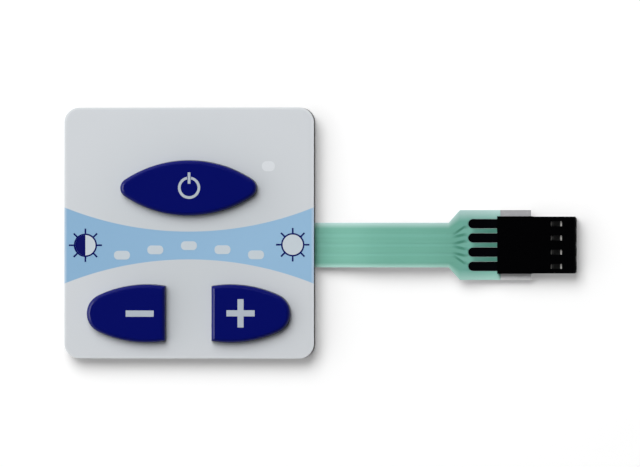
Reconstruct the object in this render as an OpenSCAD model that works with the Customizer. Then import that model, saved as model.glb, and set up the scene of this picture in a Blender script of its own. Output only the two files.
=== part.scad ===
// Three-key membrane keypad: printed panel with raised keys, film tail and four-way receptacle.
// Millimetres. Origin at the centre of the rear face, +Z out of the keys, +X along the tail.

/* [Panel] */

// Width of the panel along X
panel_w = 45; // [44:0.5:60]
// Height of the panel along Y
panel_h = 45; // [44:0.5:60]
// Corner radius of the panel
corner_r = 2.7; // [1:0.1:6]
// Thickness of the stiff backing plate
plate_t = 1.1; // [0.9:0.05:2]
// Thickness of the adhesive sheet on the plate
plate_glue_t = 0.1; // [0.05:0.01:0.2]
// Thickness of the adhesive sheet under the overlay
overlay_glue_t = 0.05; // [0.03:0.01:0.1]
// Thickness of the printed overlay
overlay_t = 0.25; // [0.2:0.01:0.5]
// Width of the rolled edge round the overlay
roll_w = 0.4; // [0.2:0.05:0.8]
// Drop of the overlay's face over its rolled edge
roll_h = 0.03; // [0.02:0.01:0.19]

/* [Keys] */

// How far the keys stand above the overlay
key_rise = 1.6; // [1.1:0.05:2]
// Rounding of the keys' shoulders
key_edge = 0.7; // [0.2:0.05:0.9]
// Travel of a key when it is pressed
key_travel = 0.3; // [0.15:0.01:0.5]
// Room left under a key's flange when it is pressed
travel_spare = 0.05; // [0.03:0.01:0.15]
// Gap between a key and the edge of its opening
key_gap = 0.06; // [0.04:0.01:0.2]
// Width of the flange that keeps a key under the overlay
flange_w = 0.6; // [0.4:0.05:1]
// Thickness of that flange
flange_t = 0.2; // [0.15:0.01:0.4]
// Gap between the flange and the overlay
flange_clear = 0.02; // [0.01:0.01:0.05]
// Radius of the stem under a key that bears on its dome
stem_r = 1.5; // [0.8:0.1:2]

/* [Power key] */

// Half length of the power key
power_a = 12.3; // [10:0.05:15]
// Half height of the power key
power_b = 4.95; // [4.6:0.05:6]
// Radius of the power key's tips
power_tip = 1.8; // [1:0.05:2.5]
// Distance of the power key's centre from the panel's top edge
power_down = 14.44; // [12:0.02:15]

/* [Minus and plus keys] */

// Half length of the full oval that the D shape is cut from
step_a = 10.8; // [10:0.05:13]
// Half height of the D-shaped keys
step_b = 5.2; // [4.6:0.05:6]
// Radius of the D-shaped keys' round tips
step_tip = 3.6; // [2:0.05:4]
// Distance from the panel's middle line to a key's straight side
step_side = 4.15; // [3:0.05:6]
// Distance from a key's straight side to its widest place
step_set = 3.4; // [1:0.05:4]
// Distance of the D-shaped keys' centres from the panel's lower edge
step_up = 8.06; // [7:0.02:9]

/* [Domes] */

// Diameter of a snap dome
dome_d = 7; // [6:0.1:8]
// Width of a dome across its two cut sides
dome_w = 5.6; // [4.5:0.1:6]
// Height of a dome
dome_h = 0.42; // [0.36:0.01:0.6]
// Sheet thickness of a dome
dome_t = 0.08; // [0.06:0.01:0.1]
// Gap between a dome's crown and the stem of its key
dome_clear = 0.02; // [0.01:0.01:0.05]
// Gap round a dome in its pocket
pocket_clear = 0.2; // [0.1:0.05:0.4]

/* [Light windows] */

// Length of a light slot
window_l = 3.1; // [2.6:0.1:4]
// Width of a light slot
window_w = 1.8; // [1.2:0.1:2.2]
// Spacing of the row of five slots along X
window_step = 6.05; // [5:0.05:7]
// Depth of the middle slot below the panel's centre
window_y = 2.3; // [1:0.05:3]
// Drop of the outer slots below the middle one
window_drop = 1.65; // [0:0.05:2]
// X of the single slot beside the power key
lamp_x = 14.2; // [13:0.1:17]
// Distance of that slot from the panel's top edge
lamp_down = 10.4; // [8:0.1:11]

/* [Circuit film and tail] */

// Thickness of the circuit film
film_t = 0.125; // [0.075:0.005:0.2]
// Distance of the circuit film's edge inside the panel's edge
film_inset = 0.4; // [0.2:0.05:0.8]
// Height of the printed silver tracks
track_t = 0.02; // [0.01:0.005:0.03]
// Width of a track in the tail
track_w = 1.2; // [0.8:0.05:1.3]
// Spacing of the tracks in the tail
track_pitch = 1.74; // [1.5:0.02:1.9]
// Width of a track under the panel
lane_w = 0.8; // [0.4:0.05:1]
// Thickness of the insulating print
cover_t = 0.05; // [0.04:0.005:0.1]
// Height of the ridges that the tracks raise in that print
ridge_t = 0.03; // [0.01:0.005:0.05]
// Width of the tail
tail_w = 8; // [7:0.1:9]
// Depth of the tail's centre line below the panel's centre
tail_y = 2.15; // [1:0.05:3]
// Length of the tail from the panel to its flare
tail_run = 24.2; // [10:0.1:80]
// Height of the tail's crest above its level at the panel
tail_bow = 1.2; // [0.3:0.1:3]
// Length of the flare
flare_l = 2; // [1.5:0.1:4]
// Width of the tail's end
wide_w = 12.5; // [12:0.1:14]
// Length of the tail's wide end
wide_l = 12.7; // [11:0.1:16]
// Distance from the flare to the tips of the contact pads
pad_set = 1.5; // [1:0.05:2.5]
// Width of a contact pad
pad_w = 1.62; // [1.4:0.02:1.8]
// Height of a contact pad
pad_t = 0.06; // [0.04:0.005:0.1]

/* [Receptacle] */

// Spacing of the pins
pin_pitch = 2.54; // [2.54:0.01:2.6]
// Length of the housing
housing_l = 14.1; // [13.5:0.1:16]
// Height of the housing
housing_h = 2.5; // [2.4:0.05:3.2]
// Length of the tail that the housing covers
film_grip = 6; // [5:0.1:7]
// Gap between the film and its slot in the housing
slot_clear = 0.12; // [0.05:0.01:0.2]
// Width and height of a contact's chamber
chamber = 1.85; // [1.75:0.01:1.95]
// Thickness of the housing's front wall
front_wall = 0.6; // [0.4:0.05:1]
// Width of a pin's square mouth
mouth = 0.9; // [0.75:0.05:1.1]
// Width of the funnel that leads into a mouth
lead_in = 1.5; // [1.2:0.05:1.7]
// Depth of that funnel
lead_in_t = 0.35; // [0.1:0.05:0.35]
// How far the rear collar round the film stands out on each side
collar = 0.06; // [0.02:0.01:0.3]
// Length of the slope from the collar to the body
collar_run = 0.35; // [0.1:0.05:0.6]
// Chamfer round the housing's front end
front_bevel = 0.25; // [0.1:0.05:0.3]
// Distance of the latch windows from the front end
latch_set = 2.5; // [2:0.1:3.5]
// Length of a latch window
latch_l = 2; // [1.5:0.1:2.5]
// Width of a latch window
latch_w = 0.9; // [0.7:0.05:1.2]

/* [Contacts] */

// Outer width and height of a contact's box
box_w = 1.6; // [1.5:0.02:1.7]
// Sheet thickness of a contact
sheet_t = 0.2; // [0.15:0.01:0.22]
// Gap between a contact and the housing's walls along X
box_clear = 0.1; // [0.05:0.05:0.3]
// Length of a contact's box
box_l = 6.4; // [5.6:0.1:6.6]
// Length of bare box in front of the latch tang
tang_set = 0.5; // [0.3:0.05:0.8]
// Width of the latch tang
tang_w = 0.64; // [0.5:0.02:0.66]
// Depth of the tang's free end below the housing's top
tang_sink = 0.1; // [0.05:0.05:0.2]
// Length of the prongs that are clinched through the film
prong_l = 1.6; // [1:0.1:2]
// Gap round a prong in its slit
prong_clear = 0.05; // [0.03:0.01:0.1]
// Width of the plate under the film
crimp_w = 1.2; // [1:0.05:1.3]

/* [Hidden] */

$fn = 96;

// heights of the layers
z_film = plate_t + plate_glue_t;
z_ink = z_film + film_t;
z_dome = z_ink + track_t;
z_spacer = z_ink + cover_t;
z_pocket = z_dome + dome_h + dome_clear;
z_flange = z_pocket + travel_spare + key_travel;
z_under = z_flange + flange_t + flange_clear;
z_face = z_under + overlay_t;
key_h = overlay_t + flange_clear + key_rise;

// key centres, set from the panel's edges
power_y = panel_h / 2 - power_down;
step_y = panel_h / 2 - step_up;
lamp_y = panel_h / 2 - lamp_down;
power_c = [0, power_y];
minus_c = [-step_side - step_set, -step_y];
plus_c = [step_side + step_set, -step_y];
// domes lie under the middle of the keys
step_mid = (step_a + step_set) / 2;
minus_d = [-step_side - step_mid, -step_y];
plus_d = [step_side + step_mid, -step_y];

// stations along the tail
x_edge = panel_w / 2;
x_flare = x_edge + tail_run;
x_wide = x_flare + flare_l;
x_end = x_wide + wide_l;
x_pad = x_wide + pad_set;
x_house = x_end - film_grip;
x_front = x_house + housing_l;
x_green = x_house + 0.5;
ways = 4;

// straight steps in the wave of the free tail
wave_steps = 32;

// receptacle
z_pin = z_film + film_t / 2;
housing_w = ways * pin_pitch;
x_box = x_front - front_wall - box_clear;
x_latch = x_front - latch_set - latch_l;
x_prong = x_house + 1.5;
crimp_y = crimp_w / 2 - sheet_t;
z_crimp = z_film - prong_clear - sheet_t;

// lanes of the tracks under the panel
ring_r = dome_d / 2 + 0.15;
spot_r = 1.2;
lane_common = x_edge - 7.9;
lane_power = x_edge - 5.9;
lane_minus = x_edge - 4.1;
lane_plus = x_edge - 2.3;
lane_left = 2.5 - x_edge;
y_common = power_y - ring_r - 2.4;
y_minus = ring_r + 2.6 - step_y;
y_foot = -step_y - ring_r - 1.9;

// place of pin i across the tail, from the top, for a given spacing
function across(i, pitch) = -tail_y + ((ways - 1) / 2 - i) * pitch;
// radius of the side arcs of a lens with half length a, half height b and tip radius r
function side_r(a, b, r) = (pow(a - r, 2) + b * b - r * r) / (2 * (b - r));

// outline of the panel, moved in by inset
module panel_shape(inset = 0) {
    w = panel_w - 2 * inset;
    h = panel_h - 2 * inset;
    r = corner_r - inset;
    square([w - 2 * r, h], center = true);
    square([w, h - 2 * r], center = true);
    for (x = [-1, 1], y = [-1, 1])
        translate([x * (w / 2 - r), y * (h / 2 - r)])
            circle(r);
}

// disc whose top edge rolls down by d over a width of e
module puck(r, h, e, d) {
    rotate_extrude()
        shoulder(r, h, e, d);
}

// half section whose top corner rolls down by d over a width of e, on an arc that leaves the top smoothly
module shoulder(r, h, e, d) {
    square([r, h - d]);
    square([r - e, h]);
    if (d > 0) {
        arc = (e * e + d * d) / (2 * d);
        intersection() {
            translate([r - e, h - arc])
                circle(arc);
            translate([r - e, h - d])
                square([e, d]);
        }
    }
}

// lens of height h: two side arcs that run into round tips at the given ends, top edge rounded by e
module lens(a, b, r, h, e, ends = [-1, 1]) {
    side = side_r(a, b, r);
    tip = a - r;
    drop = side - b;
    reach = side / (side - r);
    fan = [tip * reach, drop * reach];
    for (s = [0, 1])
        mirror([0, s, 0])
            intersection() {
                translate([0, -drop, 0])
                    puck(side, h, e, e);
                translate([0, 0, -1])
                    linear_extrude(h + 2)
                        polygon([
                            [tip, -r / 2], [tip, 0], [tip + fan.x, fan.y],
                            [-tip - fan.x, fan.y], [-tip, 0], [-tip, -r / 2]
                        ]);
            }
    for (s = ends)
        translate([s * tip, 0, 0])
            puck(r, h, e, e);
}

// form of the power key, grown sideways by grow
module power_form(grow, h, e = 0) {
    translate([power_c.x, power_c.y, 0])
        lens(power_a + grow, power_b + grow, power_tip + grow, h, e);
}

// form of the plus key: an oval with a straight side towards the middle of the panel
module plus_form(grow, h, e = 0) {
    far = step_a + grow + 1;
    deep = 2 * (step_b + grow + 1);
    translate([plus_c.x, plus_c.y, 0])
        intersection() {
            lens(step_a + grow, step_b + grow, step_tip + grow, h, e, [1]);
            translate([far, deep / 2, 0])
                rotate([90, 0, 0])
                    linear_extrude(deep)
                        mirror([1, 0])
                            shoulder(far + step_set + grow, h, e, e);
        }
}

// form of the minus key, the mirror image of the plus key
module minus_form(grow, h, e = 0) {
    mirror([1, 0, 0])
        plus_form(grow, h, e);
}

// slot with round ends
module slot(l, w) {
    square([l - w, w], center = true);
    for (x = [-1, 1])
        translate([x * (l - w) / 2, 0])
            circle(d = w);
}

// the row of five light slots, bowed downwards at its ends, and the single one
module windows() {
    for (i = [-2:2])
        translate([i * window_step, -window_y - window_drop * i * i / 4])
            slot(window_l, window_w);
    translate([lamp_x, lamp_y])
        slot(window_l, window_w);
}

// round pockets for the three domes
module dome_pockets() {
    for (c = [power_c, minus_d, plus_d])
        translate(c)
            circle(dome_d / 2 + pocket_clear);
}

// contact pads with round tips, as long as the film allows
module pads(grow = 0) {
    for (i = [0:ways - 1])
        translate([x_pad + pad_w / 2, across(i, pin_pitch)]) {
            circle(pad_w / 2 + grow);
            translate([0, -pad_w / 2 - grow])
                square([x_end - x_pad - pad_w + grow, pad_w + 2 * grow]);
        }
}

// slits in the film for the prongs of the contacts
module prong_slits() {
    for (i = [0:ways - 1], s = [-1, 1])
        translate([x_prong - prong_clear, across(i, pin_pitch) + s * (crimp_y + sheet_t / 2)])
            translate([0, -sheet_t / 2 - prong_clear])
                square([prong_l + 2 * prong_clear, sheet_t + 2 * prong_clear]);
}

// circuit film: the sheet under the panel and its tail, one die-cut piece
module film_shape() {
    panel_shape(film_inset);
    translate([0, -tail_y])
        polygon([
            [x_edge - corner_r, -tail_w / 2], [x_flare, -tail_w / 2], [x_wide, -wide_w / 2],
            [x_end, -wide_w / 2], [x_end, wide_w / 2], [x_wide, wide_w / 2],
            [x_flare, tail_w / 2], [x_edge - corner_r, tail_w / 2]
        ]);
}

// rise of the free tail over its level in the panel, at a share of the way to the receptacle:
// it leaves both ends flat and has a broad crest
function wave(share) = tail_bow * (1 - pow(cos(180 * share), 4));

// side view of a layer of the film between the heights a and c above its underside: flat under the panel
// and in the receptacle, with one gentle wave between them
module ribbon(a, c) {
    shares = [for (i = [0:wave_steps]) i / wave_steps];
    free = [for (u = shares) [x_edge + u * (x_house - x_edge), z_film + wave(u)]];
    line = concat([[-x_edge, z_film]], free, [[x_end, z_film]]);
    under = [for (p = line) [p.x, p.y + a]];
    over = [for (i = [len(line) - 1:-1:0]) [line[i].x, line[i].y + c]];
    polygon(concat(under, over));
}

// layer of the film between the heights a and c above its underside, with a given outline from above
module film_layer(a, c) {
    intersection() {
        linear_extrude(z_face + tail_bow)
            children();
        translate([0, panel_h / 2, 0])
            rotate([90, 0, 0])
                linear_extrude(panel_h)
                    ribbon(a, c);
    }
}

// straight run of a track under the panel
module run(p, q) {
    translate([min(p.x, q.x) - lane_w / 2, min(p.y, q.y) - lane_w / 2])
        square([abs(p.x - q.x) + lane_w, abs(p.y - q.y) + lane_w]);
}

// contact ring, open towards the tail, and the spot in its middle
module ring_and_spot(c) {
    translate(c) {
        difference() {
            circle(ring_r);
            circle(ring_r - lane_w);
            translate([0, -dome_w / 4])
                square([ring_r + 1, dome_w / 2]);
        }
        circle(spot_r);
    }
}

// the four tracks of the tail, fanned out to the pads
module tail_tracks(x0, w) {
    for (i = [0:ways - 1]) {
        near = across(i, track_pitch);
        wide = across(i, pin_pitch);
        x1 = x_flare + flare_l / 2;
        x2 = x_wide + pad_set / 2;
        polygon([
            [x0, near - w / 2], [x1, near - w / 2], [x2, wide - w / 2], [x_pad + pad_w / 2, wide - w / 2],
            [x_pad + pad_w / 2, wide + w / 2], [x2, wide + w / 2], [x1, near + w / 2], [x0, near + w / 2]
        ]);
    }
}

// tracks under the panel: one lane to each spot and a common run that links the rings
module panel_tracks() {
    for (c = [power_c, minus_d, plus_d])
        ring_and_spot(c);
    // power
    run(power_c, [lane_power, power_y]);
    run([lane_power, power_y], [lane_power, across(0, track_pitch)]);
    run([lane_power, across(0, track_pitch)], [x_edge, across(0, track_pitch)]);
    // common
    run([lane_left, y_common], [lane_common, y_common]);
    run([0, y_common], [0, power_y - ring_r + lane_w / 2]);
    run([lane_common, y_common], [lane_common, across(1, track_pitch)]);
    run([lane_common, across(1, track_pitch)], [x_edge, across(1, track_pitch)]);
    run([lane_left, y_common], [lane_left, -step_y]);
    run([lane_left, -step_y], [minus_d.x - ring_r + lane_w / 2, -step_y]);
    for (c = [minus_d, plus_d])
        run([c.x, y_foot], [c.x, -step_y - ring_r + lane_w / 2]);
    run([minus_d.x, y_foot], [plus_d.x, y_foot]);
    // minus
    run(minus_d, [0, -step_y]);
    run([0, -step_y], [0, y_minus]);
    run([0, y_minus], [lane_minus, y_minus]);
    run([lane_minus, y_minus], [lane_minus, across(2, track_pitch)]);
    run([lane_minus, across(2, track_pitch)], [x_edge, across(2, track_pitch)]);
    // plus
    run(plus_d, [lane_plus, -step_y]);
    run([lane_plus, -step_y], [lane_plus, across(3, track_pitch)]);
    run([lane_plus, across(3, track_pitch)], [x_edge, across(3, track_pitch)]);
}

// all four printed conductors
module track_solid() {
    film_layer(film_t, film_t + track_t)
        difference() {
            union() {
                panel_tracks();
                tail_tracks(x_edge - lane_w, track_w);
            }
            pads();
        }
}

// stiff plate that keeps the switch layers flat
module backing_plate() {
    color("#4a4c4f")
        linear_extrude(plate_t)
            difference() {
                panel_shape();
                windows();
            }
}

// adhesive sheet between the plate and the circuit film
module plate_adhesive() {
    color("#3c3c3a")
        translate([0, 0, plate_t])
            linear_extrude(plate_glue_t)
                difference() {
                    panel_shape();
                    windows();
                }
}

// clear circuit film with its tail
module circuit_film() {
    color("#c3c7c9")
        film_layer(0, film_t)
            difference() {
                film_shape();
                prong_slits();
            }
}

// printed conductors on the film
module silver_tracks() {
    color("#a9abad")
        track_solid();
}

// insulating print over the tracks, open at the domes, the light slots and the pads
module insulation() {
    color("#72b09c")
        difference() {
            union() {
                film_layer(film_t, film_t + cover_t)
                    difference() {
                        film_shape();
                        dome_pockets();
                        windows();
                        pads(prong_clear);
                        translate([x_green, -tail_y - wide_w])
                            square([film_grip, 2 * wide_w]);
                    }
                // ridges over the tracks of the tail
                film_layer(film_t + cover_t / 2, film_t + cover_t + ridge_t)
                    difference() {
                        tail_tracks(x_edge + flange_w, track_w);
                        pads(prong_clear);
                    }
            }
            track_solid();
        }
}

// carbon pads under the contacts
module carbon_pads() {
    color("#0b1112")
        film_layer(film_t, film_t + pad_t)
            difference() {
                pads();
                prong_slits();
            }
}

// layer with a round pocket for each dome
module dome_spacer() {
    color("#232426")
        translate([0, 0, z_spacer])
            linear_extrude(z_pocket - z_spacer)
                difference() {
                    panel_shape();
                    dome_pockets();
                    windows();
                }
}

// snap dome: a thin spherical cap with two sides cut off
module dome(c) {
    crown = dome_h - dome_t;
    ball = (dome_d * dome_d / 4 + crown * crown) / (2 * crown);
    color("#b9bcbf")
        translate([c.x, c.y, z_dome])
            intersection() {
                translate([0, 0, crown - ball])
                    difference() {
                        sphere(ball + dome_t);
                        sphere(ball);
                    }
                cylinder(h = dome_h + 1, d = dome_d);
                translate([-dome_w / 2, -dome_d, 0])
                    cube([dome_w, 2 * dome_d, dome_h + 1]);
            }
}

module power_dome() {
    dome(power_c);
}

module minus_dome() {
    dome(minus_d);
}

module plus_dome() {
    dome(plus_d);
}

// layer whose pockets the flanges of the keys travel in
module key_spacer() {
    color("#232426")
        difference() {
            translate([0, 0, z_pocket])
                linear_extrude(z_under - overlay_glue_t - z_pocket)
                    difference() {
                        panel_shape();
                        windows();
                    }
            translate([0, 0, z_pocket - 1])
                flange_pockets(z_under - z_pocket + 2);
        }
}

// openings that clear the flanges of all three keys
module flange_pockets(h) {
    power_form(flange_w + key_gap, h);
    minus_form(flange_w + key_gap, h);
    plus_form(flange_w + key_gap, h);
}

// adhesive sheet under the overlay, cut away over the flanges
module overlay_adhesive() {
    color("#3c3c3a")
        difference() {
            translate([0, 0, z_under - overlay_glue_t])
                linear_extrude(overlay_glue_t)
                    panel_shape();
            translate([0, 0, z_under - overlay_glue_t - 1])
                flange_pockets(overlay_glue_t + 2);
        }
}

// printed overlay with a rolled edge and an opening for each key
module overlay() {
    color("#cbcfd2")
        difference() {
            translate([0, 0, z_under])
                soft_plate(overlay_t, roll_w, roll_h);
            translate([0, 0, z_under - 1]) {
                power_form(key_gap, overlay_t + 2);
                minus_form(key_gap, overlay_t + 2);
                plus_form(key_gap, overlay_t + 2);
            }
        }
}

// plate with the panel's outline whose top edge rolls down by d over a width of e
module soft_plate(h, e, d) {
    long_x = panel_w - 2 * corner_r;
    long_y = panel_h - 2 * corner_r;
    for (x = [-1, 1], y = [-1, 1])
        translate([x * long_x / 2, y * long_y / 2, 0])
            puck(corner_r, h, e, d);
    translate([0, long_y / 2, 0])
        rotate([90, 0, 0])
            linear_extrude(long_y)
                for (s = [0, 1])
                    mirror([s, 0])
                        shoulder(panel_w / 2, h, e, d);
    translate([-long_x / 2, 0, 0])
        rotate([90, 0, 90])
            linear_extrude(long_x)
                for (s = [0, 1])
                    mirror([s, 0])
                        shoulder(panel_h / 2, h, e, d);
}

// stem under a key, down to its dome
module stem(c) {
    translate([c.x, c.y, z_pocket])
        cylinder(h = z_flange + flange_t - z_pocket, r = stem_r);
}

// power key: cap, flange and stem in one moulding
module power_key() {
    color("#0a1266") {
        translate([0, 0, z_flange + flange_t])
            power_form(0, key_h, key_edge);
        translate([0, 0, z_flange])
            power_form(flange_w, flange_t);
        stem(power_c);
    }
}

// minus key: cap, flange and stem in one moulding
module minus_key() {
    color("#0a1266") {
        translate([0, 0, z_flange + flange_t])
            minus_form(0, key_h, key_edge);
        translate([0, 0, z_flange])
            minus_form(flange_w, flange_t);
        stem(minus_d);
    }
}

// plus key: cap, flange and stem in one moulding
module plus_key() {
    color("#0a1266") {
        translate([0, 0, z_flange + flange_t])
            plus_form(0, key_h, key_edge);
        translate([0, 0, z_flange])
            plus_form(flange_w, flange_t);
        stem(plus_d);
    }
}

// outer form of the receptacle: body with a wider collar at the back and a chamfered front end
module housing_form() {
    body = housing_w / 2;
    rear = body + collar;
    x_neck = x_end + slot_clear;
    top = housing_h / 2;
    x_bevel = x_front - front_bevel;
    side = [
        [x_house, rear], [x_neck, rear], [x_neck + collar_run, body],
        [x_bevel, body], [x_front, body - front_bevel]
    ];
    other_side = [for (i = [len(side) - 1:-1:0]) [side[i].x, -side[i].y]];
    intersection() {
        // seen from above
        translate([0, -tail_y, z_pin - top])
            linear_extrude(housing_h)
                polygon(concat(side, other_side));
        // seen from the side
        translate([0, rear - tail_y, z_pin])
            rotate([90, 0, 0])
                linear_extrude(2 * rear)
                    polygon([
                        [x_house, -top], [x_bevel, -top], [x_front, front_bevel - top],
                        [x_front, top - front_bevel], [x_bevel, top], [x_house, top]
                    ]);
    }
}

// square funnel that leads a pin into its mouth, open towards +X, with its rim at x = 0
module funnel() {
    intersection() {
        translate([0, 0, -lead_in])
            linear_extrude(2 * lead_in)
                funnel_side();
        translate([0, lead_in, 0])
            rotate([90, 0, 0])
                linear_extrude(2 * lead_in)
                    funnel_side();
    }
}

// side view of that funnel
module funnel_side() {
    deep = mouth / 2;
    wide = lead_in / 2;
    polygon([[-lead_in_t, -deep], [0, -wide], [1, -wide], [1, wide], [0, wide], [-lead_in_t, deep]]);
}

// receptacle: housing with a film slot at the back, a chamber for each contact and square pin mouths
module receptacle() {
    color("#141414")
        difference() {
            housing_form();
            // film slot, open at the back and at both sides because the film is the wider one
            translate([x_house - 1, -tail_y - wide_w, z_film - slot_clear])
                cube([film_grip + slot_clear + 1, 2 * wide_w, film_t + pad_t + 2 * slot_clear]);
            for (i = [0:ways - 1])
                translate([0, across(i, pin_pitch), z_pin]) {
                    // chamber
                    translate([x_house - 1, -chamber / 2, -chamber / 2])
                        cube([housing_l - front_wall + 1, chamber, chamber]);
                    // pin mouth and its funnel
                    translate([x_front - front_wall - 1, -mouth / 2, -mouth / 2])
                        cube([front_wall + 2, mouth, mouth]);
                    translate([x_front, 0, 0])
                        funnel();
                    // latch window
                    translate([x_latch, -latch_w / 2, 0])
                        cube([latch_l, latch_w, housing_h]);
                }
        }
}

// crimp contact: box for the pin, spring, latch tang, and prongs clinched through the film
module contact(i) {
    half = box_w / 2;
    floor_z = z_pin - half;
    roof_z = z_pin + half;
    x_back = x_box - box_l;
    x_tip = x_box - box_l / 2;
    x_tray = x_prong - sheet_t;
    x_root = x_latch + latch_l - tang_set;
    x_free = x_latch + box_clear;
    tang_z = z_pin + housing_h / 2 - tang_sink;
    over = z_ink + pad_t + prong_clear;
    color("#b8b4a6")
        translate([0, across(i, pin_pitch), 0]) {
            // box, open at both ends
            difference() {
                translate([x_back, -half, floor_z])
                    cube([box_l, box_w, box_w]);
                translate([x_back - 1, -half + sheet_t, floor_z + sheet_t])
                    cube([box_l + 2, box_w - 2 * sheet_t, box_w - 2 * sheet_t]);
            }
            // spring that bears on the pin
            bent(box_w / 3, [
                [x_box - 1, roof_z - sheet_t / 2], [x_box - 1 - sheet_t, roof_z - sheet_t / 2],
                [x_tip - sheet_t, z_pin + sheet_t * 1.5], [x_tip - sheet_t, z_pin + sheet_t],
                [x_tip, z_pin + sheet_t]
            ]);
            // latch tang that stands in the window, its free end towards the film
            bent(tang_w, [
                [x_root, roof_z], [x_free + 2 * sheet_t, tang_z], [x_free, tang_z],
                [x_free, tang_z - sheet_t], [x_free + 2 * sheet_t, tang_z - sheet_t],
                [x_root - sheet_t, roof_z - sheet_t / 2], [x_root, roof_z - sheet_t / 2]
            ]);
            // plate under the film and its step down to the box
            translate([x_tray, -crimp_w / 2, z_crimp])
                cube([prong_l + 2 * sheet_t, crimp_w, sheet_t]);
            bent(crimp_w, [
                [x_tray + prong_l + sheet_t, z_crimp + sheet_t], [x_tray + prong_l + sheet_t, z_crimp],
                [x_back, floor_z], [x_back + sheet_t, floor_z], [x_back + sheet_t, floor_z + sheet_t],
                [x_back, floor_z + sheet_t]
            ]);
            // prongs, bent inwards over the pad
            for (s = [0, 1])
                mirror([0, s, 0]) {
                    translate([x_prong, crimp_y, z_crimp])
                        cube([prong_l, sheet_t, over + sheet_t - z_crimp]);
                    translate([x_prong, sheet_t / 4, over])
                        cube([prong_l, crimp_y, sheet_t]);
                }
        }
}

// strip of sheet metal of width w with a given side view
module bent(w, side) {
    translate([0, w / 2, 0])
        rotate([90, 0, 0])
            linear_extrude(w)
                polygon(side);
}

module contact_1() {
    contact(0);
}

module contact_2() {
    contact(1);
}

module contact_3() {
    contact(2);
}

module contact_4() {
    contact(3);
}

backing_plate();
plate_adhesive();
circuit_film();
silver_tracks();
insulation();
carbon_pads();
dome_spacer();
power_dome();
minus_dome();
plus_dome();
key_spacer();
overlay_adhesive();
overlay();
power_key();
minus_key();
plus_key();
receptacle();
contact_1();
contact_2();
contact_3();
contact_4();
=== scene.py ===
import math

import bmesh
import bpy
from mathutils import Matrix, Vector


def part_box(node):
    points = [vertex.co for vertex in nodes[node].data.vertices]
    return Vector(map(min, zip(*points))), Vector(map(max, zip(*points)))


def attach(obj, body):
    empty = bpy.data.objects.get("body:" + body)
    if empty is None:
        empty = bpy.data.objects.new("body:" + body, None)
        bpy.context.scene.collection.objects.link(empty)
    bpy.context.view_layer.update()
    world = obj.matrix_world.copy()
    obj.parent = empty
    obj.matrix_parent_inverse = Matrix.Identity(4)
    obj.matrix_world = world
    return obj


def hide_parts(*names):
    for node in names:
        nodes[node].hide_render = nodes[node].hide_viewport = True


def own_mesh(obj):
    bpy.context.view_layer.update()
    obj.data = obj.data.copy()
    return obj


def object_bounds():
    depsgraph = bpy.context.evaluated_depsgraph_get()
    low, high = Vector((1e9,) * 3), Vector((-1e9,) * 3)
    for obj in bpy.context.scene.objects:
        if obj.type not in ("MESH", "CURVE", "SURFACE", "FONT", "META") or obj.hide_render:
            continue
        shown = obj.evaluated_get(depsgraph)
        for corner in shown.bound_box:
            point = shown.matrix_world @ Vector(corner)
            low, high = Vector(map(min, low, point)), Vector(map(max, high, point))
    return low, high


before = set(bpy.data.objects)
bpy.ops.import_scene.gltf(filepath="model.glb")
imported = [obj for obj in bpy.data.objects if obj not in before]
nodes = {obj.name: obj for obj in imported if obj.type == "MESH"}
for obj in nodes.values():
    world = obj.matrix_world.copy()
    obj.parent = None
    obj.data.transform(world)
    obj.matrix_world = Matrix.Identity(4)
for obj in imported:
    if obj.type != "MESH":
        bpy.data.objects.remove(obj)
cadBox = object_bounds()
mm = 0.001
mergeDist = 0.0005 * mm
keyNames = ("power", "minus", "plus")
print("frame loaded,", len(nodes), "nodes")


# photo colours are written as screen values and turned into linear light
def ink(red, green, blue):
    linear = []
    for value in (red, green, blue):
        share = value / 255
        linear.append(share / 12.92 if share <= 0.04045 else ((share + 0.055) / 1.055) ** 2.4)
    return (*linear, 1.0)


# camera: looks straight down, leaning a little to the tail's side so the panel's right wall just shows
photo = {
    "width": 640,
    "height": 467,
    "pixelsPerMm": 5.585,
    "centreX": 188.15,      # panel centre in the photo
    "centreY": 233.0,
    "distance": 1.6,
    "lean": 5.5,
}


def makeCamera():
    data = bpy.data.cameras.new("viewCamera")
    camera = bpy.data.objects.new("viewCamera", data)
    bpy.context.scene.collection.objects.link(camera)
    spanX = photo["width"] / photo["pixelsPerMm"] * mm
    data.sensor_width = 36
    data.lens = data.sensor_width * photo["distance"] / spanX
    data.clip_start = 0.05
    data.clip_end = 20
    aimX = (photo["width"] / 2 - photo["centreX"]) / photo["pixelsPerMm"] * mm
    aimY = (photo["centreY"] - photo["height"] / 2) / photo["pixelsPerMm"] * mm
    aim = Vector((aimX, aimY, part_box("overlay")[1].z))
    lean = math.radians(photo["lean"])
    turn = Matrix.Rotation(lean, 4, "Y")
    camera.matrix_world = Matrix.Translation(aim) @ turn @ Matrix.Translation((0, 0, photo["distance"]))
    bpy.context.scene.camera = camera


makeCamera()
bpy.context.scene.view_settings.view_transform = "Standard"
print("camera set")


# small helpers for node trees
def put(tree, kind, inputs=None, **settings):
    node = tree.nodes.new("ShaderNode" + kind)
    for name, value in settings.items():
        setattr(node, name, value)
    for socket, value in (inputs or {}).items():
        if isinstance(value, bpy.types.NodeSocket):
            tree.links.new(value, node.inputs[socket])
        else:
            node.inputs[socket].default_value = value
    return node


def sums(tree, operation, first, second=0.0, clamp=False):
    return put(tree, "Math", {0: first, 1: second}, operation=operation, use_clamp=clamp).outputs[0]


# 0 below low, 1 above high, eased between
def ease(tree, value, low, high):
    node = put(tree, "MapRange", {"Value": value, "From Min": low, "From Max": high},
               interpolation_type="SMOOTHSTEP")
    return node.outputs["Result"]


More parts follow.
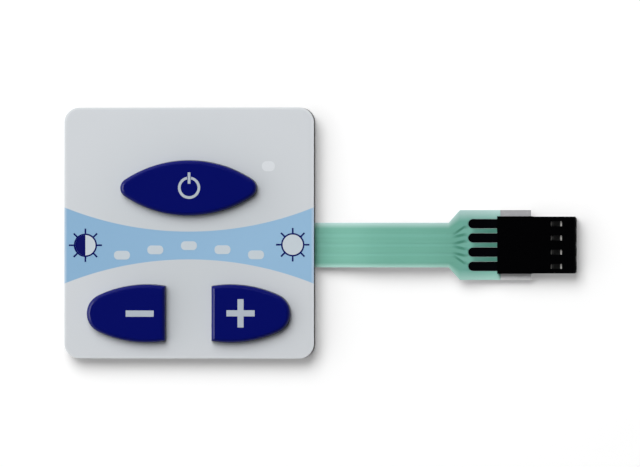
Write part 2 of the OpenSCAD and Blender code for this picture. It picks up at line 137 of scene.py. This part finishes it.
def blendColor(tree, factor, first, second, mode="MIX"):
    node = put(tree, "Mix", data_type="RGBA", blend_type=mode)
    for index, value in ((0, factor), (6, first), (7, second)):
        if isinstance(value, bpy.types.NodeSocket):
            tree.links.new(value, node.inputs[index])
        else:
            node.inputs[index].default_value = value
    return node.outputs[2]


# millimetre coordinates of the piece's own frame
def mmCoords(tree):
    coords = put(tree, "TexCoord")
    scaled = put(tree, "Mapping", {"Vector": coords.outputs["Object"], "Scale": (1000, 1000, 1000)})
    return scaled.outputs["Vector"]


def newMaterial(name, **sockets):
    material = bpy.data.materials.new(name)
    material.use_nodes = True
    tree = material.node_tree
    shader = tree.nodes["Principled BSDF"]
    for socket, value in sockets.items():
        shader.inputs[socket.replace("_", " ")].default_value = value
    return material, tree, shader


# shared effect: fine surface grain, as a height and as a speckle round 1
grainLook = {
    "detail": 3.0,
    "roughness": 0.6,
    "coarseScale": 0.22,       # per mm, slow drift under the fine grain
    "coarseDetail": 2.0,
}


def makeGrainGroup():
    look = grainLook
    group = bpy.data.node_groups.new("fineGrain", "ShaderNodeTree")
    group.interface.new_socket("Vector", in_out="INPUT", socket_type="NodeSocketVector")
    for name, start in (("Grain mm", 0.2), ("Speckle", 0.05)):
        socket = group.interface.new_socket(name, in_out="INPUT", socket_type="NodeSocketFloat")
        socket.default_value = start
    group.interface.new_socket("Height", in_out="OUTPUT", socket_type="NodeSocketFloat")
    group.interface.new_socket("Speckle", in_out="OUTPUT", socket_type="NodeSocketFloat")
    entry = group.nodes.new("NodeGroupInput")
    leave = group.nodes.new("NodeGroupOutput")
    perMm = sums(group, "DIVIDE", 1.0, entry.outputs["Grain mm"])
    fine = put(group, "TexNoise", {"Vector": entry.outputs["Vector"], "Scale": perMm,
                                   "Detail": look["detail"], "Roughness": look["roughness"]})
    coarse = put(group, "TexNoise", {"Vector": entry.outputs["Vector"], "Scale": look["coarseScale"],
                                     "Detail": look["coarseDetail"]})
    both = sums(group, "ADD", fine.outputs["Fac"], coarse.outputs["Fac"])
    swing = sums(group, "MULTIPLY", sums(group, "SUBTRACT", both, 1.0), entry.outputs["Speckle"])
    group.links.new(fine.outputs["Fac"], leave.inputs["Height"])
    group.links.new(sums(group, "ADD", swing, 1.0), leave.inputs["Speckle"])
    return group


grainGroup = makeGrainGroup()


# puts the grain into a material: speckles the colour, roughens the gloss and bumps the surface
def addGrain(tree, shader, coords, color, grainMm, speckle, depthMm, roughness, roughSwing=0.06):
    grain = tree.nodes.new("ShaderNodeGroup")
    grain.node_tree = grainGroup
    tree.links.new(coords, grain.inputs["Vector"])
    grain.inputs["Grain mm"].default_value = grainMm
    grain.inputs["Speckle"].default_value = speckle
    tinted = blendColor(tree, 1.0, color, grain.outputs["Speckle"], "MULTIPLY")
    tree.links.new(tinted, shader.inputs["Base Color"])
    uneven = put(tree, "MapRange", {"Value": grain.outputs["Height"], "From Min": 0.3, "From Max": 0.7,
                                    "To Min": roughness - roughSwing, "To Max": roughness + roughSwing})
    tree.links.new(uneven.outputs["Result"], shader.inputs["Roughness"])
    bump = put(tree, "Bump", {"Strength": 1.0, "Distance": depthMm * mm, "Height": grain.outputs["Height"]})
    tree.links.new(bump.outputs["Normal"], shader.inputs["Normal"])
    return bump


# plain material of one colour; grain is size in mm, speckle, depth in mm and roughness, here and below
def grainy(name, color, grain, specular):
    material, tree, shader = newMaterial(name, Specular_IOR_Level=specular)
    addGrain(tree, shader, mmCoords(tree), color, *grain)
    return material


# printed overlay: pale grey with a waisted blue band between two arcs
overlayLook = {
    "face": ink(206, 210, 214),
    "faceMiddleShade": ink(198, 203, 207),
    "bandLeft": ink(135, 175, 207),
    "bandRight": ink(144, 183, 214),
    "rim": ink(226, 228, 231),
    "rimWidth": 0.55,              # mm, painted highlight where the edge rolls down
    "outline": (22.5, 2.7),        # half size and corner radius
    "bandTop": 0.26,               # mm, band edge on the middle line
    "bandBottom": -4.74,
    "topArc": 60.5,
    "bottomArc": 60.5,
    "soft": 0.05,
    "bandFade": (-22.0, 14.0),     # mm, from the left blue to the right one
    "middleFade": (8.0, 26.0),     # mm from the centre
    "rimEnd": 0.15,
    "rimShare": 0.3,
    "grain": (0.12, 0.012, 0.004, 0.5),
}


def makeOverlayPrint():
    look = overlayLook
    material, tree, shader = newMaterial("overlayPrint", Specular_IOR_Level=0.35)
    coords = mmCoords(tree)
    flat = put(tree, "Mapping", {"Vector": coords, "Scale": (1, 1, 0)}).outputs["Vector"]

    def outsideArc(centreY, radius):
        reach = put(tree, "VectorMath", {0: flat, 1: (0, centreY, 0)}, operation="DISTANCE")
        return ease(tree, reach.outputs["Value"], radius - look["soft"], radius + look["soft"])

    upper = outsideArc(look["bandTop"] + look["topArc"], look["topArc"])
    lower = outsideArc(look["bandBottom"] - look["bottomArc"], look["bottomArc"])
    band = sums(tree, "MULTIPLY", upper, lower)
    # painted shade: the grey is a touch deeper towards the middle
    middle = put(tree, "VectorMath", {0: flat}, operation="LENGTH").outputs["Value"]
    grey = blendColor(tree, ease(tree, middle, *look["middleFade"]), look["faceMiddleShade"], look["face"])
    along = put(tree, "SeparateXYZ", {"Vector": coords}).outputs[0]
    blue = blendColor(tree, ease(tree, along, *look["bandFade"]), look["bandLeft"], look["bandRight"])
    color = blendColor(tree, band, grey, blue)
    # distance in from the rounded outline
    half, corner = look["outline"]
    bare = put(tree, "VectorMath", {0: flat}, operation="ABSOLUTE").outputs["Vector"]
    beyond = put(tree, "VectorMath", {0: bare, 1: (half - corner, half - corner, 0)}, operation="SUBTRACT")
    beyond = put(tree, "VectorMath", {0: beyond.outputs["Vector"], 1: (0, 0, 0)}, operation="MAXIMUM")
    reach = put(tree, "VectorMath", {0: beyond.outputs["Vector"]}, operation="LENGTH").outputs["Value"]
    # painted highlight: the face turns paler along its edge
    atRimHighlight = ease(tree, reach, corner - look["rimWidth"], corner - look["rimEnd"])
    color = blendColor(tree, sums(tree, "MULTIPLY", atRimHighlight, look["rimShare"]), color, look["rim"])
    addGrain(tree, shader, coords, color, *look["grain"])
    return material


# keys: deep blue coat with a soft gloss; the moulding below the overlay's face is left bare
keyLook = {
    "blue": ink(7, 14, 98),
    "bare": ink(150, 154, 162),
    "coatFrom": 2.5,           # mm
    "coatSoft": 0.02,
    "grain": (0.1, 0.04, 0.0015, 0.15),
}


def makeKeyBlue():
    look = keyLook
    material, tree, shader = newMaterial("keyBlue", Specular_IOR_Level=0.2)
    coords = mmCoords(tree)
    height = put(tree, "SeparateXYZ", {"Vector": coords}).outputs[2]
    coat = ease(tree, height, look["coatFrom"] - look["coatSoft"], look["coatFrom"] + look["coatSoft"])
    color = blendColor(tree, coat, look["bare"], look["blue"])
    addGrain(tree, shader, coords, color, *look["grain"])
    return material


keyBlue = makeKeyBlue()

# print on the keys, windows and signs
paleInk = grainy("paleInk", ink(174, 183, 193), (0.12, 0.015, 0.002, 0.45), 0.3)
windowInk = grainy("windowInk", ink(195, 205, 212), (0.12, 0.015, 0.002, 0.4), 0.4)
lampInk = grainy("lampInk", ink(217, 221, 225), (0.12, 0.015, 0.002, 0.4), 0.4)
navyInk = grainy("navyInk", ink(7, 12, 91), (0.12, 0.03, 0.002, 0.32), 0.08)

# layers of the panel, seen at its walls and from behind, then the pads and the receptacle
plateGrey = grainy("plateGrey", ink(74, 76, 79), (0.35, 0.05, 0.01, 0.55), 0.3)
spacerFilm = grainy("spacerFilm", ink(30, 31, 33), (0.2, 0.03, 0.004, 0.5), 0.2)
glueSheet = grainy("glueSheet", ink(58, 58, 56), (0.3, 0.06, 0.006, 0.6), 0.15)
carbonInk = grainy("carbonInk", ink(2, 2, 5), (0.08, 0.2, 0.004, 0.65), 0.02)
blackNylon = grainy("blackNylon", ink(1, 1, 2), (0.16, 0.15, 0.003, 0.3), 0.04)


# metals keep the drawn lines of the sheet
metalLook = {
    "stretch": (0.15, 1, 1),
    "roughSwing": 0.08,
}


def addLines(tree, shader, coords, color, grain):
    lines = put(tree, "Mapping", {"Vector": coords, "Scale": metalLook["stretch"]}).outputs["Vector"]
    addGrain(tree, shader, lines, color, *grain, metalLook["roughSwing"])


def drawnMetal(name, color, grain):
    material, tree, shader = newMaterial(name, Metallic=1.0)
    addLines(tree, shader, mmCoords(tree), color, grain)
    return material


# contacts: bright tin, with painted shade along the sprung tang down in the latch window
contactLook = {
    "tin": ink(196, 194, 190),
    "tangShade": ink(26, 26, 26),
    "tang": (65.11, 66.7),     # mm along the tail
    "soft": 0.05,
    "grain": (0.08, 0.08, 0.002, 0.42),
}


def makeContactTin():
    look = contactLook
    material, tree, shader = newMaterial("contactTin", Metallic=0.5)
    coords = mmCoords(tree)
    along = put(tree, "SeparateXYZ", {"Vector": coords}).outputs[0]
    first, last = look["tang"]
    past = ease(tree, along, first - look["soft"], first + look["soft"])
    beyond = ease(tree, along, last - look["soft"], last + look["soft"])
    onTang = sums(tree, "MULTIPLY", past, sums(tree, "SUBTRACT", 1.0, beyond))
    color = blendColor(tree, onTang, look["tin"], look["tangShade"])
    addLines(tree, shader, coords, color, look["grain"])
    return material


springSteel = drawnMetal("springSteel", ink(200, 200, 200), (0.08, 0.08, 0.001, 0.22))
silverInk = drawnMetal("silverInk", ink(176, 177, 178), (0.05, 0.08, 0.003, 0.5))

# bare film: clear plastic with a faint grey, seen beside the receptacle; painted light along its lower
# margin lifts the receptacle's shadow there
filmLook = {
    "grey": ink(178, 178, 181),
    "lower": ink(234, 234, 236),
    "lowerFade": (-7.2, -6.8),     # mm across the tail
    "alpha": 0.93,
    "grain": (0.5, 0.02, 0.002, 0.25),
}


def makeClearFilm():
    look = filmLook
    material, tree, shader = newMaterial("clearFilm", Specular_IOR_Level=0.5, Alpha=look["alpha"])
    coords = mmCoords(tree)
    y = put(tree, "SeparateXYZ", {"Vector": coords}).outputs[1]
    # painted light: paler below the receptacle, where its shadow falls
    color = blendColor(tree, ease(tree, y, *look["lowerFade"]), look["lower"], look["grey"])
    addGrain(tree, shader, coords, color, *look["grain"])
    return material


# green print on the tail: even over the tracks, paler towards the film's edges
tailLook = {
    "print": ink(111, 174, 155),
    "gap": ink(116, 179, 162),
    "line": ink(122, 184, 168),        # fine lines along the tail
    "fan": ink(80, 145, 125),          # painted shade on the sides of the gaps where the tracks part
    "wideEnd": ink(114, 176, 161),
    "wideGap": ink(122, 184, 168),
    "stripStart": ink(92, 149, 135),   # strips between the pads
    "stripEnd": ink(76, 135, 119),
    "padEdgeHighlight": ink(140, 172, 163),
    "upperRim": ink(192, 222, 219),
    "lowerRim": ink(172, 213, 203),
    "centreY": -2.15,
    "trackPitch": 1.74,
    "trackWidth": 1.2,
    "padPitch": 2.54,
    "padHalf": 0.81,
    "flareStart": 46.7,
    "flareEnd": 48.7,
    "fanStart": 47.7,                  # the tracks part here to reach the pads
    "fanEnd": 49.45,
    "padStart": 50.2,
    "halfWidths": (4.0, 6.25),         # of the film, before and after the flare
    "upperFade": (1.05, 2.0),          # width of the pale margin, before and after the flare
    "lowerFade": (0.8, 1.8),
    "marginPower": 0.9,
    "gapSoft": 0.06,
    "laneReach": 1.5,                  # the outermost gaps, in pitches from the middle
    "streakScale": (0.03, 3.2, 0),
    "streakFade": (0.35, 0.65),
    "streakShare": 0.25,
    "wideShare": 0.5,                  # of that, on the wide end
    "streakDepth": 0.012,
    "darkFade": (0.1, 0.4),            # mm from a track's side
    "darkRise": (-0.7, 0.9),           # mm from fanStart
    "darkFall": (-0.4, 0.2),           # mm from fanEnd and from padStart
    "stripFade": (0.3, 1.4),           # mm from padStart
    "stripDeep": (1.2, 4.5),
    "padEdgeFade": (0.14, 0.04),
    "grain": (0.15, 0.03, 0.003, 0.42),
}


def makeTailPrint():
    look = tailLook
    material, tree, shader = newMaterial("tailPrint", Specular_IOR_Level=0.2)
    coords = mmCoords(tree)
    split = put(tree, "SeparateXYZ", {"Vector": coords})
    along, y = split.outputs[0], split.outputs[1]
    side = sums(tree, "SUBTRACT", y, look["centreY"])
    across = sums(tree, "ABSOLUTE", side)

    # value that goes from one to another along the flare or the fan
    def overRun(first, last, ends):
        node = put(tree, "MapRange", {"Value": along, "From Min": first, "From Max": last,
                                      "To Min": ends[0], "To Max": ends[1]})
        return node.outputs["Result"]

    def overFlare(ends):
        return overRun(look["flareStart"], look["flareEnd"], ends)

    # distance from the middle of the nearest track, in a pitch that grows along the fan
    pitch = overRun(look["fanStart"], look["fanEnd"], (look["trackPitch"], look["padPitch"]))
    lane = sums(tree, "DIVIDE", side, pitch)
    toGap = sums(tree, "MULTIPLY", sums(tree, "PINGPONG", lane, 0.5), pitch)
    fromTrack = sums(tree, "SUBTRACT", sums(tree, "MULTIPLY", pitch, 0.5), toGap)
    half = look["trackWidth"] / 2
    inGap = ease(tree, fromTrack, half - look["gapSoft"], half + look["gapSoft"])
    between = sums(tree, "LESS_THAN", sums(tree, "ABSOLUTE", lane), look["laneReach"])
    inGap = sums(tree, "MULTIPLY", inGap, between)

    # fine lines along the tail
    lines = put(tree, "Mapping", {"Vector": coords, "Scale": look["streakScale"]}).outputs["Vector"]
    streak = put(tree, "TexNoise", {"Vector": lines, "Scale": 1.0, "Detail": 4.0, "Roughness": 0.65})
    streakMix = ease(tree, streak.outputs["Fac"], *look["streakFade"])
    streakMix = sums(tree, "MULTIPLY", streakMix, look["streakShare"])
    narrow = blendColor(tree, inGap, look["print"], look["gap"])
    narrow = blendColor(tree, streakMix, narrow, look["line"])
    end = blendColor(tree, inGap, look["wideEnd"], look["wideGap"])
    end = blendColor(tree, sums(tree, "MULTIPLY", streakMix, look["wideShare"]), end, look["wideGap"])
    color = blendColor(tree, ease(tree, along, look["fanStart"], look["fanEnd"]), narrow, end)

    # painted shade along the sides of the parting tracks, meeting in a V at the root of each gap
    toSide = sums(tree, "ABSOLUTE", sums(tree, "SUBTRACT", fromTrack, half))
    dark = sums(tree, "SUBTRACT", 1.0, ease(tree, toSide, *look["darkFade"]))
    rise = ease(tree, along, *(look["fanStart"] + shift for shift in look["darkRise"]))
    last, gone = look["darkFall"]
    fall = ease(tree, along, look["fanEnd"] + last, look["padStart"] + gone)
    fall = sums(tree, "SUBTRACT", 1.0, fall)
    dark = sums(tree, "MULTIPLY", sums(tree, "MULTIPLY", dark, between), sums(tree, "MULTIPLY", rise, fall))
    color = blendColor(tree, dark, color, look["fan"])

    # strips between the pads, deeper towards the receptacle, with a thin painted highlight along their
    # edges
    toStrip = sums(tree, "PINGPONG", side, look["padPitch"] / 2)
    inside = sums(tree, "LESS_THAN", across, look["padPitch"] * look["laneReach"])
    inPads = ease(tree, along, *(look["padStart"] + shift for shift in look["stripFade"]))
    inPads = sums(tree, "MULTIPLY", inPads, inside)
    deep = ease(tree, along, *(look["padStart"] + shift for shift in look["stripDeep"]))
    strip = blendColor(tree, deep, look["stripStart"], look["stripEnd"])
    color = blendColor(tree, inPads, color, strip)
    edge = look["padPitch"] / 2 - look["padHalf"]
    atPadHighlight = ease(tree, toStrip, *(edge - inset for inset in look["padEdgeFade"]))
    atPadHighlight = sums(tree, "MULTIPLY", atPadHighlight, inPads)
    color = blendColor(tree, atPadHighlight, color, look["padEdgeHighlight"])

    # paler margins
    inFrom = sums(tree, "SUBTRACT", overFlare(look["halfWidths"]), across)
    for rim, fade, sign in (("upperRim", "upperFade", 1.0), ("lowerRim", "lowerFade", -1.0)):
        share = sums(tree, "DIVIDE", inFrom, overFlare(look[fade]), clamp=True)
        pale = sums(tree, "SUBTRACT", 1.0, sums(tree, "POWER", share, look["marginPower"]))
        onSide = sums(tree, "GREATER_THAN", sums(tree, "MULTIPLY", side, sign), 0.0)
        color = blendColor(tree, sums(tree, "MULTIPLY", pale, onSide), color, look[rim])
    bump = addGrain(tree, shader, coords, color, *look["grain"])
    lineBump = put(tree, "Bump", {"Strength": 0.6, "Distance": look["streakDepth"] * mm,
                                  "Height": streak.outputs["Fac"], "Normal": bump.outputs["Normal"]})
    tree.links.new(lineBump.outputs["Normal"], shader.inputs["Normal"])
    return material


contactTin = makeContactTin()
nodeFinish = {
    "overlay": makeOverlayPrint(),
    "backing_plate": plateGrey,
    "plate_adhesive": glueSheet,
    "overlay_adhesive": glueSheet,
    "dome_spacer": spacerFilm,
    "key_spacer": spacerFilm,
    "circuit_film": makeClearFilm(),
    "silver_tracks": silverInk,
    "insulation": makeTailPrint(),
    "carbon_pads": carbonInk,
    "receptacle": blackNylon,
    **{key + "_key": keyBlue for key in keyNames},
    **{"contact_%d" % i: contactTin for i in range(1, 5)},
}
for nodeName, material in nodeFinish.items():
    for slot in nodes[nodeName].material_slots:
        slot.material = material
print("finishes on", len(nodeFinish), "nodes")


# flat print: outlines are drawn at z = 0, then given a thin closed body on the surface that carries them
inkBody = {"above": 0.012 * mm, "below": 0.006 * mm, "discSteps": 72, "ringSteps": 96, "cornerSteps": 8}


def place(x, y, turn=0.0):
    return Matrix.Translation((x * mm, y * mm, 0)) @ Matrix.Rotation(turn, 4, "Z")


def addBar(bm, length, width, where, corner=0.0):
    made = bmesh.ops.create_grid(bm, x_segments=1, y_segments=1, size=0.5)
    shape = where @ Matrix.Diagonal((length * mm, width * mm, 1, 1))
    bmesh.ops.transform(bm, matrix=shape, verts=made["verts"])
    if corner:
        bmesh.ops.bevel(bm, geom=made["verts"], offset=corner * mm, segments=inkBody["cornerSteps"],
                        profile=0.5, affect="VERTICES", material=-1)


def addDisc(bm, radius, where, keepSide=0):
    made = bmesh.ops.create_circle(bm, cap_ends=True, segments=inkBody["discSteps"],
                                    radius=radius * mm, matrix=where)
    if keepSide:
        geom = made["verts"] + [e for v in made["verts"] for e in v.link_edges]
        geom += [f for v in made["verts"] for f in v.link_faces]
        bmesh.ops.bisect_plane(bm, geom=list(dict.fromkeys(geom)), plane_co=where.translation,
                               plane_no=(-keepSide, 0, 0), clear_outer=True)


# ring of a given stroke, open by gap (radians) at the top
def addRing(bm, outer, stroke, where, gap=0.0):
    start = Matrix.Rotation(math.pi / 2 + gap / 2, 4, "Z")
    ends = [bm.verts.new(where @ start @ Vector((r * mm, 0, 0))) for r in (outer - stroke, outer)]
    edge = bm.edges.new(ends)
    bmesh.ops.spin(bm, geom=ends + [edge], cent=where.translation, axis=(0, 0, 1), dvec=(0, 0, 0),
                   angle=2 * math.pi - gap, steps=inkBody["ringSteps"], use_merge=gap == 0.0,
                   use_duplicate=False)


def linkPiece(bm, name, body, material):
    bmesh.ops.recalc_face_normals(bm, faces=bm.faces)
    mesh = bpy.data.meshes.new(name)
    bm.to_mesh(mesh)
    bm.free()
    mesh.materials.append(material)
    piece = bpy.data.objects.new(name, mesh)
    bpy.context.scene.collection.objects.link(piece)
    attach(piece, body)
    return piece


def finishPrint(bm, name, surface, body, material):
    bmesh.ops.remove_doubles(bm, verts=bm.verts, dist=mergeDist)
    bmesh.ops.recalc_face_normals(bm, faces=bm.faces)
    for face in bm.faces:
        if face.normal.z < 0:
            face.normal_flip()
    bmesh.ops.translate(bm, vec=(0, 0, surface - inkBody["below"]), verts=bm.verts)
    grown = bmesh.ops.extrude_face_region(bm, geom=bm.faces[:])
    top = [v for v in grown["geom"] if isinstance(v, bmesh.types.BMVert)]
    bmesh.ops.translate(bm, vec=(0, 0, inkBody["above"] + inkBody["below"]), verts=top)
    return linkPiece(bm, name, body, material)


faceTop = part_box("overlay")[1].z
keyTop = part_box("power_key")[1].z

# light windows: a bowed row of five and one by itself
windowLook = {
    "length": 2.88,
    "width": 1.57,
    "corner": 0.72,
    "row": [(-12.09, -3.98), (-6.07, -3.03), (0.0, -2.27), (6.05, -2.99), (12.09, -3.91)],
    "lamp": (14.32, 11.97),
    "lampSize": (2.32, 1.82),
    "lampCorner": 0.46,        # share of its height
}


def makeWindows():
    look = windowLook
    bm = bmesh.new()
    for x, y in look["row"]:
        addBar(bm, look["length"], look["width"], place(x, y), look["corner"])
    finishPrint(bm, "light_windows", faceTop, "panel", windowInk)
    bm = bmesh.new()
    addBar(bm, *look["lampSize"], place(*look["lamp"]), look["lampSize"][1] * look["lampCorner"])
    finishPrint(bm, "lamp_window", faceTop, "panel", lampInk)


makeWindows()

# brightness signs: the left sun is half filled, the right one open
sunLook = {
    "dim": (-18.7, -2.2),
    "bright": (18.7, -2.1),
    "outer": 2.1,
    "stroke": 0.28,
    "rays": 8,
    "rayStart": 2.1,
    "rayEnd": 3.0,
    "rayWidth": 0.3,
    "seam": 0.01,              # keeps the dark half's edge clear of the ring's
}


def makeSuns():
    look = sunLook
    inner = look["outer"] - look["stroke"]
    rayLength = look["rayEnd"] - look["rayStart"]
    outward = Matrix.Translation(((look["rayStart"] + look["rayEnd"]) / 2 * mm, 0, 0))
    bm = bmesh.new()
    for x, y in (look["dim"], look["bright"]):
        addRing(bm, look["outer"], look["stroke"], place(x, y))
        for i in range(look["rays"]):
            turn = place(x, y, 2 * math.pi * i / look["rays"])
            addBar(bm, rayLength, look["rayWidth"], turn @ outward)
    addDisc(bm, inner - look["seam"], place(*look["dim"]), keepSide=-1)
    finishPrint(bm, "sun_lines", faceTop, "panel", navyInk)
    bm = bmesh.new()
    addDisc(bm, inner, place(*look["dim"]), keepSide=1)
    addDisc(bm, inner, place(*look["bright"]))
    finishPrint(bm, "sun_faces", faceTop, "panel", windowInk)


makeSuns()

# signs on the keys
signLook = {
    "power": (0.2, 8.11),
    "ringOuter": 2.0,
    "ringStroke": 0.48,
    "ringGap": 0.41,           # radians left open round the bar
    "powerBar": (2.04, 0.49),
    "powerBarY": 9.85,
    "minus": (-8.71, -14.45),
    "minusBar": (5.06, 1.12),
    "plus": (9.47, -14.38),
    "plusArm": (5.08, 1.1),
    "corner": 0.06,
}


def makeSigns():
    look = signLook
    bm = bmesh.new()
    addRing(bm, look["ringOuter"], look["ringStroke"], place(*look["power"]), look["ringGap"])
    addBar(bm, *look["powerBar"], place(look["power"][0], look["powerBarY"], math.pi / 2), look["corner"])
    finishPrint(bm, "power_sign", keyTop, "power_button", paleInk)
    bm = bmesh.new()
    addBar(bm, *look["minusBar"], place(*look["minus"]), look["corner"])
    finishPrint(bm, "minus_sign", keyTop, "minus_button", paleInk)
    # the cross grows from its middle square
    bm = bmesh.new()
    long, width = look["plusArm"]
    addBar(bm, width, width, place(*look["plus"]))
    for edge in bm.edges[:]:
        out = (edge.verts[0].co + edge.verts[1].co) / 2 - place(*look["plus"]).translation
        grown = bmesh.ops.extrude_edge_only(bm, edges=[edge])
        tips = [v for v in grown["geom"] if isinstance(v, bmesh.types.BMVert)]
        bmesh.ops.translate(bm, vec=out.normalized() * (long - width) / 2 * mm, verts=tips)
    finishPrint(bm, "plus_sign", keyTop, "plus_button", paleInk)


makeSigns()
print("print and signs made")


# snap domes under the keys, made again as thin caps in place of the part file's domes, which are hidden
domeLook = {
    "sheet": 0.08 * mm,
    "rings": 8,
    "steps": 64,
    "keep": 0.3,               # share of the height left under a pressed key
}


def makeDome(key):
    look = domeLook
    low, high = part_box(key + "_dome")
    middle = (low + high) / 2
    radius = (high.y - low.y) / 2
    crown = high.z - low.z - look["sheet"]
    ball = (radius ** 2 + crown ** 2) / (2 * crown)
    centre = low.z + crown - ball
    reach = [radius * i / look["rings"] for i in range(look["rings"] + 1)]
    outer = [(r, 0, centre + math.sqrt((ball + look["sheet"]) ** 2 - r ** 2)) for r in reach]
    inner = [(r, 0, centre + math.sqrt(ball ** 2 - r ** 2)) for r in reversed(reach)]
    bm = bmesh.new()
    profile = [bm.verts.new(point) for point in outer + inner]
    edges = [bm.edges.new(pair) for pair in zip(profile, profile[1:])]
    bmesh.ops.spin(bm, geom=profile + edges, cent=(0, 0, 0), axis=(0, 0, 1), dvec=(0, 0, 0),
                   angle=2 * math.pi, steps=look["steps"], use_merge=True, use_duplicate=False)
    bmesh.ops.remove_doubles(bm, verts=bm.verts, dist=mergeDist)
    for side in (-1, 1):       # the two cut sides
        cut = bmesh.ops.bisect_plane(bm, geom=bm.verts[:] + bm.edges[:] + bm.faces[:],
                                     plane_co=(side * (high.x - low.x) / 2, 0, 0),
                                     plane_no=(side, 0, 0), clear_outer=True)
        rim = [e for e in cut["geom_cut"] if isinstance(e, bmesh.types.BMEdge)]
        bmesh.ops.contextual_create(bm, geom=rim)
    bmesh.ops.translate(bm, vec=(middle.x, middle.y, 0), verts=bm.verts)
    piece = linkPiece(bm, key + "_snap_dome", "panel", springSteel)
    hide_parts(key + "_dome")
    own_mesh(piece)


for key in keyNames:
    makeDome(key)
print("domes made")

# floor, world, a large soft lamp from the upper left and a second one seen only in gloss
stageLook = {
    "floorSize": 6.0,
    "floor": (0.9, 0.9, 0.9, 1),
    "floorDrop": 0.01,                # mm below the part
    "floorLift": 0.175,               # camera sees the open floor as white
    "skyLow": 2.1,
    "skyHigh": 0.01,
    "skyFade": (0.5, 0.93),           # height from which and to which it darkens
    "skyFrom": (-0.98, 0.2, 0.0),     # the bright side of the sky
    "skySpread": (0.2, 0.95),
    "skyDim": 0.1,                    # share of light left on the other side
    "lampDistance": 1.0,
    "lampFrom": (-0.3, 0.76, 1.0),
    "lampSize": 0.92,
    "lampPower": 9.75,
    "edgeFrom": (-0.62, 0.06, 0.79),
    "edgeSize": 0.6,
    "edgePower": 5.6,
}


def makeLamp(name, lampFrom, size, power):
    data = bpy.data.lights.new(name, "AREA")
    data.shape = "DISK"
    data.size = size
    data.energy = power
    lamp = bpy.data.objects.new(name, data)
    bpy.context.scene.collection.objects.link(lamp)
    lo, hi = cadBox
    middle = Vector(((lo.x + hi.x) / 2, (lo.y + hi.y) / 2, 0))
    back = Vector(lampFrom).normalized()
    lamp.location = middle + back * stageLook["lampDistance"]
    lamp.rotation_euler = back.to_track_quat("Z", "Y").to_euler()
    lamp.visible_camera = False
    return lamp


def makeStage():
    look = stageLook
    bm = bmesh.new()
    bmesh.ops.create_grid(bm, x_segments=2, y_segments=2, size=look["floorSize"] / 2)
    mesh = bpy.data.meshes.new("floor")
    bm.to_mesh(mesh)
    bm.free()
    floor = bpy.data.objects.new("floor", mesh)
    floor.location.z = -look["floorDrop"] * mm
    bpy.context.scene.collection.objects.link(floor)
    material, tree, shader = newMaterial("floorWhite", Roughness=0.9, Specular_IOR_Level=0.0)
    shader.inputs["Base Color"].default_value = look["floor"]
    light = put(tree, "LightPath")
    seen = sums(tree, "MAXIMUM", light.outputs["Is Camera Ray"], light.outputs["Is Glossy Ray"])
    seen = sums(tree, "MAXIMUM", seen, light.outputs["Is Transmission Ray"])
    shader.inputs["Emission Color"].default_value = (1, 1, 1, 1)
    tree.links.new(sums(tree, "MULTIPLY", seen, look["floorLift"]), shader.inputs["Emission Strength"])
    mesh.materials.append(material)

    # sky: bright near the horizon and dark overhead, so flat tops keep their depth
    world = bpy.data.worlds.new("studio")
    bpy.context.scene.world = world
    world.use_nodes = True
    tree = world.node_tree
    coords = put(tree, "TexCoord")
    direction = coords.outputs["Generated"]
    height = put(tree, "SeparateXYZ", {"Vector": direction}).outputs["Z"]
    ramp = put(tree, "ValToRGB", {"Fac": height})
    stops = ramp.color_ramp.elements
    stops[0].position, stops[1].position = look["skyFade"]
    stops[0].color = (look["skyLow"],) * 3 + (1,)
    stops[1].color = (look["skyHigh"],) * 3 + (1,)
    toward = put(tree, "VectorMath", {0: direction, 1: look["skyFrom"]}, operation="DOT_PRODUCT")
    near, far = look["skySpread"]
    share = put(tree, "MapRange", {"Value": toward.outputs["Value"], "From Min": near, "From Max": far,
                                   "To Min": look["skyDim"], "To Max": 1.0})
    sky = blendColor(tree, 1.0, ramp.outputs["Color"], share.outputs["Result"], "MULTIPLY")
    tree.links.new(sky, tree.nodes["Background"].inputs["Color"])

    makeLamp("softLamp", look["lampFrom"], look["lampSize"], look["lampPower"]).visible_glossy = False
    # draws the thin light line on the left shoulders of the keys
    makeLamp("edgeLamp", look["edgeFrom"], look["edgeSize"], look["edgePower"]).visible_diffuse = False


makeStage()
print("stage and light set")
